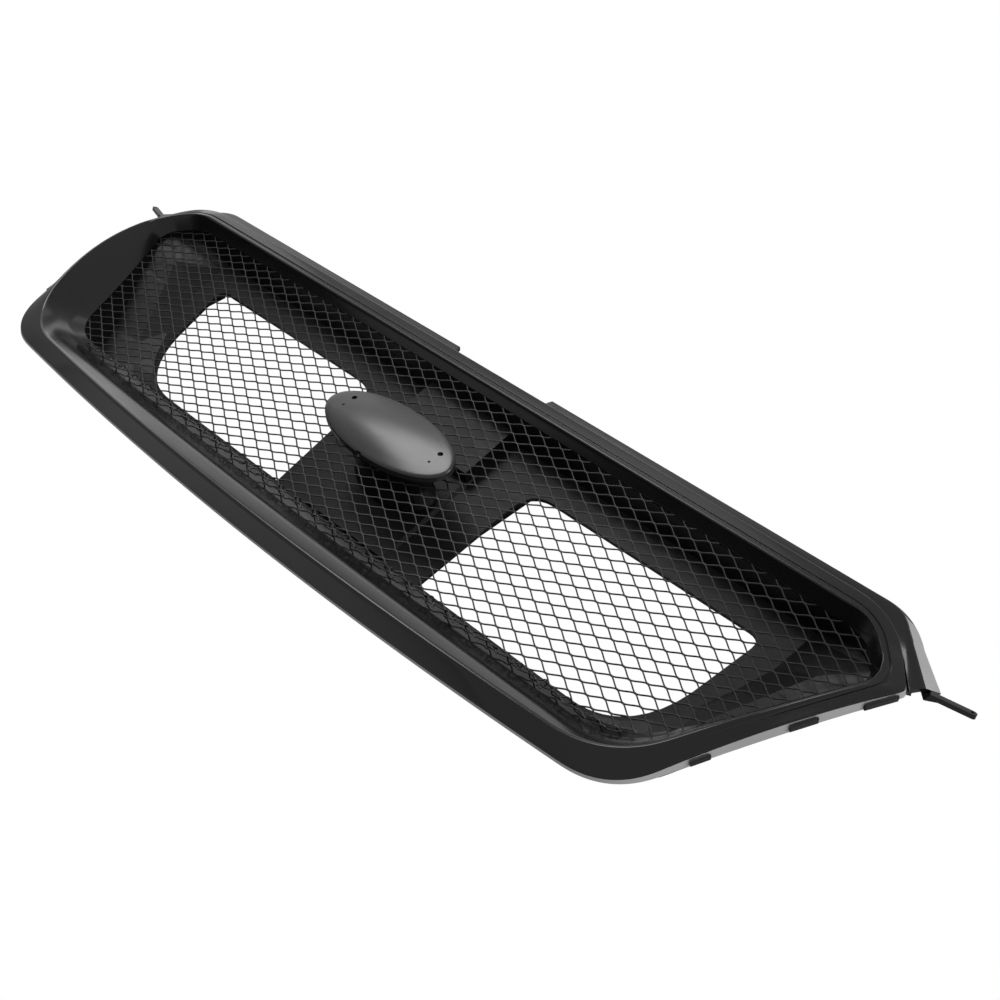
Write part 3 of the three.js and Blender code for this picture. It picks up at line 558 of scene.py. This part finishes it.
def strand(points, normals):
    """Closed bar along a run of points, of rectangular section with eased corners."""
    tan = np.gradient(points, axis=0)
    tan /= np.linalg.norm(tan, axis=1)[:, None]
    side = np.cross(normals, tan)
    side /= np.linalg.norm(side, axis=1)[:, None]
    up = np.cross(tan, side)
    c, s = math.cos(STRAND_TILT), math.sin(STRAND_TILT)
    side, up = side * c + up * s, up * c - side * s
    e = 1 - STRAND_CORNER
    shape = [(1, e), (e, 1), (-e, 1), (-1, e), (-1, -e), (-e, -1), (e, -1), (1, -e)]
    rings = np.stack([points + side * STRAND_HALF_W * a + up * STRAND_HALF_T * b
                      for a, b in shape], 1)
    return rings.reshape(-1, 3), bar_faces(len(points), len(shape))


def mesh_margin():
    """The panel's plain edge between the foot of the surround and the rim of the tray."""
    ring = outline(RAILS["foot"])
    corners = ((MARGIN_IN, -1), (MARGIN_IN, 1), (MARGIN_OUT, 1), (MARGIN_OUT, -1))
    rings = rounded_section([on_mesh(offset(ring, d), z * MARGIN_HALF_T) for d, z in corners],
                            [0.2] * 4, 3, closed=True)
    return np.vstack(rings), ring_faces(len(rings), len(ring), closed=True)


def build_mesh():
    foot = outline(RAILS["foot"], COARSE)
    reach = EDGE_REACH + (BEND_REACH - EDGE_REACH) * bent(foot)
    edge = foot + (offset(foot, 1.0) - foot) * reach[:, None]
    hole = [(HOLE_A * math.cos(a), MID_Y + HOLE_B * math.sin(a))
            for a in np.linspace(0, 2 * math.pi, HOLE_SIDES, False)]
    rng = np.random.default_rng(SEED)
    parts = [mesh_margin()]
    for row in ROWS:
        path = strand_path(row)
        keep = inside(edge, path) & ~inside(hole, path)
        ends = np.flatnonzero(np.diff(keep)) + 1
        for run, kept in zip(np.split(path, ends), np.split(keep, ends)):
            if not kept[0] or len(run) < 3:
                continue
            slope = [2 * CROWN_X * run[:, 0], 2 * CROWN_Y * run[:, 1], np.full(len(run), -1.0)]
            run[:, 2] += mesh_z(run[:, 0], run[:, 1])
            turn_up(run, foot, rng.normal(0, BEND_SLACK))
            parts.append(strand(run, -np.stack(slope, 1)))
    obj = make_object("mesh_strands", *merged(parts), WIRE, 50)
    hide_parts("mesh_panel")
    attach(obj, "root")


# ---- badge --------------------------------------------------------------------------------------
BADGE_A, BADGE_B, BADGE_Z, BADGE_TILT, BADGE_SIDES = 66.7, 29.4, 11.3, 0.06, 192
# inset as a share of the outline, and height above the rim: over the dome, down and back inside
BADGE_PROFILE = [(0.999, 3.6), (0.9, 3.56), (0.8, 3.45), (0.7, 3.27), (0.6, 3.0), (0.5, 2.65),
                 (0.4, 2.25), (0.3, 1.77), (0.2, 1.25), (0.12, 0.8), (0.07, 0.52), (0.045, 0.32),
                 (0.028, 0.1), (0.015, -0.2), (0.006, -0.65), (0.001, -1.2), (0.0, -1.8),
                 (0.0, -5.0), (0.03, -5.0), (0.035, -3.2), (0.3, -1.2), (0.999, 1.4)]
BADGE_HOLES = [(49.2, 25.7, 2.2), (49.2, 14.7, 1.0)]    # x, y and radius, on each side
NOTCH_HALF_W, NOTCH_DEPTH = 2.5, 1.2
CUT_Z, CUT_TALL, CUT_SHARP = 14, 30, 32                 # the cutters' middle and height, degrees


def cutter_place(x, y, half_x, half_y, size):
    """Puts a shape of a given size at (x, y), scaled to reach half_x and half_y from there."""
    scale = Matrix.Diagonal((half_x / size / 500, half_y / size / 500, CUT_TALL / 1000, 1))
    return Matrix.Translation(to_m((x, y, CUT_Z))) @ scale


def cutter_round(x, y, r):
    bm = bmesh.new()
    bmesh.ops.create_cone(bm, cap_ends=True, segments=32, radius1=1, radius2=1, depth=1,
                          matrix=cutter_place(x, y, r, r, 2))
    return bm


def cutter_box(x, y, hx, hy):
    bm = bmesh.new()
    bmesh.ops.create_cube(bm, size=1, matrix=cutter_place(x, y, hx, hy, 1))
    return bm


def carve(obj, cutters):
    """Subtracts closed cutters from an object's mesh, for good."""
    tools = []
    for bm in cutters:
        mesh = bpy.data.meshes.new("cutter")
        bm.to_mesh(mesh)
        bm.free()
        tool = bpy.data.objects.new("cutter", mesh)
        bpy.context.scene.collection.objects.link(tool)
        mod = obj.modifiers.new("cut", "BOOLEAN")
        mod.operation = "DIFFERENCE"
        mod.solver = "EXACT"
        mod.object = tool
        tools.append(tool)
    graph = bpy.context.evaluated_depsgraph_get()
    shaped = bpy.data.meshes.new_from_object(obj.evaluated_get(graph))
    obj.modifiers.clear()
    obj.data = shaped
    shaped.shade_smooth()
    shaped.set_sharp_from_angle(angle=math.radians(CUT_SHARP))
    for tool in tools:
        mesh = tool.data
        bpy.data.objects.remove(tool)
        bpy.data.meshes.remove(mesh)


def build_badge():
    n = BADGE_SIDES
    w = np.linspace(0, 2 * math.pi, n, False)
    rings = []
    for inset, up in BADGE_PROFILE:
        y = MID_Y + BADGE_B * (1 - inset) * np.sin(w)
        z = BADGE_Z + BADGE_TILT * (y - MID_Y) + up
        rings.append(np.stack([BADGE_A * (1 - inset) * np.cos(w), y, z], 1))
    first, last = tuple(range(n)), tuple(range((len(rings) - 1) * n, len(rings) * n))
    faces = ring_faces(len(rings), n) + [first, last[::-1]]
    obj = make_object("badge_dome", np.vstack(rings), faces, SATIN, 40)
    cuts = []
    for side in (-1, 1):
        cuts += [cutter_round(side * x, y, r) for x, y, r in BADGE_HOLES]
        cuts.append(cutter_box(0, MID_Y + side * BADGE_B, NOTCH_HALF_W, NOTCH_DEPTH))
    carve(obj, cuts)
    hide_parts("badge_plate")
    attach(obj, "root")


# ---- camera, floor and light --------------------------------------------------------------------
CAMERA_PLACE = (665.99, -458.32, 669.19)
CAMERA_TURN = (47.944, 2.885, 46.286)     # degrees about x, y and z
FLOOR_HALF, FLOOR_GRAIN = 6.0, 30.0
AIM_Z = 0.05
# name, place, height aimed at over the middle of the part, size and watts, in metres
LIGHTS = [
    ("softbox", (-1.35, 1.0, 2.35), AIM_Z, (1.15, 1.15), 20),
    ("back_wall", (-2.0, 2.8, 0.45), 0.35, (3.4, 0.8), 7),
    ("back_sheet", (-1.7, 1.64, 1.75), AIM_Z, (2.2, 1.0), 4),
    ("left_panel", (-2.7, 1.15, 1.0), AIM_Z, (1.5, 1.3), 5),
    ("right_sheet", (1.22, 1.22, 1.85), AIM_Z, (0.9, 0.9), 12),
]
# lights the right side without being mirrored in it
STRIP = ("right_strip", (2.2, 0.1, 0.5), AIM_Z, (2.4, 0.5), 24)
WORLD_LIGHT = 0.42


def build_camera():
    """The photograph's viewpoint, found from the perspective of the mesh's lattice."""
    cam = bpy.data.cameras.new("camera")
    cam.lens = 50.68
    cam.sensor_width = 36.0
    cam.clip_end = 50
    obj = bpy.data.objects.new("camera", cam)
    turn = Euler([math.radians(a) for a in CAMERA_TURN]).to_matrix().to_4x4()
    obj.matrix_world = Matrix.Translation(to_m(CAMERA_PLACE)) @ turn
    bpy.context.scene.collection.objects.link(obj)
    bpy.context.scene.camera = obj


def seen_or_lighting(tree, lighting, seen, output):
    """Shows the camera one shader and every other ray another."""
    mix = tree.nodes.new("ShaderNodeMixShader")
    rays = tree.nodes.new("ShaderNodeLightPath")
    tree.links.new(rays.outputs["Is Camera Ray"], mix.inputs[0])
    tree.links.new(lighting.outputs[0], mix.inputs[1])
    tree.links.new(seen.outputs[0], mix.inputs[2])
    tree.links.new(mix.outputs[0], tree.nodes[output].inputs["Surface"])


def build_floor():
    """Pale paper, overexposed to plain white in the view and dimmer to everything it lights."""
    mesh = bpy.data.meshes.new("floor")
    s = FLOOR_HALF
    mesh.from_pydata([(-s, -s, 0), (s, -s, 0), (s, s, 0), (-s, s, 0)], [], [(0, 1, 2, 3)])
    obj = bpy.data.objects.new("floor", mesh)
    m, nodes, links, bsdf = new_material("floor_paper")
    coords = nodes.new("ShaderNodeTexCoord").outputs["Object"]
    fac = noise(nodes, links, coords, FLOOR_GRAIN)
    links.new(tint(nodes, links, fac, (0.42,) * 3, (0.46,) * 3), bsdf.inputs["Base Color"])
    bsdf.inputs["Roughness"].default_value = 0.9
    bsdf.inputs["Specular IOR Level"].default_value = 0.1
    glow = nodes.new("ShaderNodeEmission")
    glow.inputs["Strength"].default_value = 1.0
    links.new(tint(nodes, links, fac, (0.995,) * 3, (1.0,) * 3), glow.inputs["Color"])
    seen_or_lighting(m.node_tree, bsdf, glow, "Material Output")
    mesh.materials.append(m)
    bpy.context.scene.collection.objects.link(obj)


def area_light(name, place, aim_z, size, energy):
    light = bpy.data.lights.new(name, "AREA")
    light.shape = "RECTANGLE"
    light.size, light.size_y = size
    light.energy = energy
    obj = bpy.data.objects.new(name, light)
    obj.location = place
    ahead = Vector((0, 0, aim_z)) - Vector(place)
    obj.rotation_euler = ahead.to_track_quat("-Z", "Y").to_euler()
    bpy.context.scene.collection.objects.link(obj)
    return obj


def build_light():
    """Soft lights all round, over a white background that lights less than it shows."""
    world = bpy.data.worlds.new("studio")
    world.use_nodes = True
    soft = world.node_tree.nodes["Background"]
    plain = world.node_tree.nodes.new("ShaderNodeBackground")
    for background, strength in ((soft, WORLD_LIGHT), (plain, 1.0)):
        background.inputs["Color"].default_value = (1, 1, 1, 1)
        background.inputs["Strength"].default_value = strength
    seen_or_lighting(world.node_tree, soft, plain, "World Output")
    bpy.context.scene.world = world
    for light in LIGHTS:
        area_light(*light)
    area_light(*STRIP).visible_glossy = False
    scene = bpy.context.scene
    scene.view_settings.view_transform = "Standard"
    scene.view_settings.look = "None"
    scene.view_settings.exposure = 0.0


build_camera()
build_floor()
build_light()
build_surround()
build_mesh()
build_badge()
build_flange(-1, "left")
build_flange(1, "right")
dress("backing_panel", MATT, 0.0012)
dress("badge_pedestal", MATT, 0.0008)
for side in ("left", "right"):
    dress(f"ear_{side}", TAB, 0.0004)
    dress(f"pedestal_screw_{side}", STEEL, 0.0002)
    for k in (1, 2, 3):
        dress(f"side_clip_{side}_{k}", TAB, 0.0003)
for k in range(1, 9):
    dress(f"backing_screw_{k}", STEEL, 0.0002)
